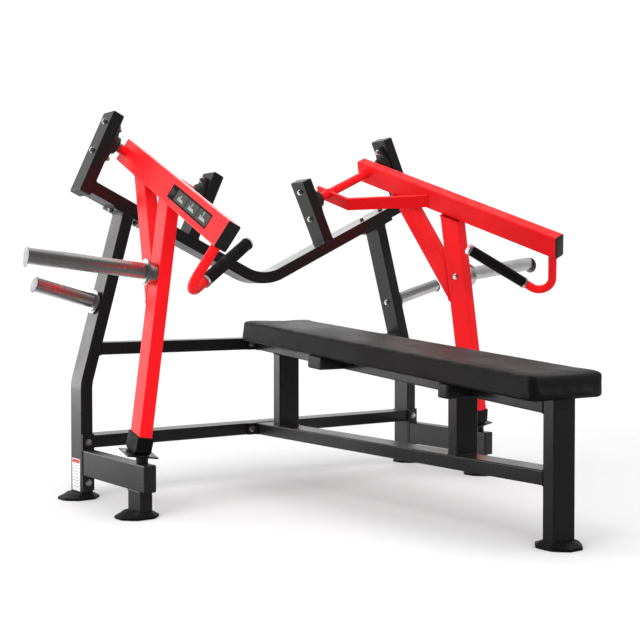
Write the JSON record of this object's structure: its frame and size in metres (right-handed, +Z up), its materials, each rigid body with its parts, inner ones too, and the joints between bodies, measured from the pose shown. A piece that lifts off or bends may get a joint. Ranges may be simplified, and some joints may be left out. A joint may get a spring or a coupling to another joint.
{
  "type": "chest press machine",
  "caption": "Plate-loaded flat bench chest press with two independent lever arms, angled hand grips, plate horns and a padded bench on a bolted tube frame.",
  "frame": {"origin": "on the floor, in the middle of the machine's bounding box", "axes": "+Z up; +Y from the bench's foot end towards the uprights; +X towards the arm on the lying user's left"},
  "size_m": [2.0044, 1.5353, 1.2371],
  "materials": {
    "frame_paint": "semi-gloss black powder coat",
    "arm_paint": "gloss red powder coat",
    "horn_steel": "chrome plated tube",
    "bearing_iron": "black painted casting",
    "pivot_steel": "ground steel",
    "zinc_fasteners": "zinc plated",
    "rubber": "matt moulded rubber",
    "collar_metal": "turned and polished",
    "plastic_caps": "matt moulded plastic",
    "upholstery": "black vinyl cover over foam",
    "plywood": "black backing cloth over plywood"
  },
  "bodies": {
    "frame": {"bearing_bolts": "zinc_fasteners", "bench_base_tube": "frame_paint", "bench_foot": "rubber", "bench_front_leg": "frame_paint", "bench_mid_post": "frame_paint", "bench_pad": "upholstery", "bench_rear_post": "frame_paint", "bench_top_rail": "frame_paint", "corner_feet": "rubber", "flange_bolts": "zinc_fasteners", "frame_tube_caps": "plastic_caps", "landing_plates": "frame_paint", "left_bearings": "bearing_iron", "left_front_post": "frame_paint", "left_inner_bearing_post": "frame_paint", "left_outer_bearing_post": "frame_paint", "left_side_beam": "frame_paint", "left_storage_horn": "horn_steel", "left_upright": "frame_paint", "lower_cross_tube": "frame_paint", "pad_board": "plywood", "pad_supports": "frame_paint", "right_bearings": "bearing_iron", "right_front_post": "frame_paint", "right_inner_bearing_post": "frame_paint", "right_outer_bearing_post": "frame_paint", "right_side_beam": "frame_paint", "right_storage_horn": "horn_steel", "right_upright": "frame_paint", "top_beam": "frame_paint", "upper_cross_tube": "frame_paint", "upper_frame_bolts": "zinc_fasteners"},
    "left_arm": {"left_arm_beam": "arm_paint", "left_arm_beam_cap": "plastic_caps", "left_arm_brace": "arm_paint", "left_arm_leg": "arm_paint", "left_leg_strut": "arm_paint", "left_leg_boot": "rubber", "left_weight_horn": "horn_steel", "left_horn_bolt": "zinc_fasteners", "left_handle": "arm_paint", "left_hand_grip": "rubber", "left_grip_collars": "collar_metal", "left_pivot_tube": "arm_paint", "left_pivot_shaft": "pivot_steel", "left_bearing_rings": "pivot_steel"},
    "right_arm": {"right_arm_beam": "arm_paint", "right_arm_beam_cap": "plastic_caps", "right_arm_brace": "arm_paint", "right_arm_leg": "arm_paint", "right_leg_strut": "arm_paint", "right_leg_boot": "rubber", "right_weight_horn": "horn_steel", "right_horn_bolt": "zinc_fasteners", "right_handle": "arm_paint", "right_hand_grip": "rubber", "right_grip_collars": "collar_metal", "right_pivot_tube": "arm_paint", "right_pivot_shaft": "pivot_steel", "right_bearing_rings": "pivot_steel"}
  },
  "joints": [
    {"name": "left_arm_pivot", "type": "hinge", "parent": "frame", "child": "left_arm", "pos_m": [-0.49767, 0.7115, 1.10374], "axis": [-0.9063, 0, 0.4226], "range_deg": [0, 40]},
    {"name": "right_arm_pivot", "type": "hinge", "parent": "frame", "child": "right_arm", "pos_m": [0.49767, 0.7115, 1.10374], "axis": [-0.9063, 0, -0.4226], "range_deg": [0, 40]}
  ]
}
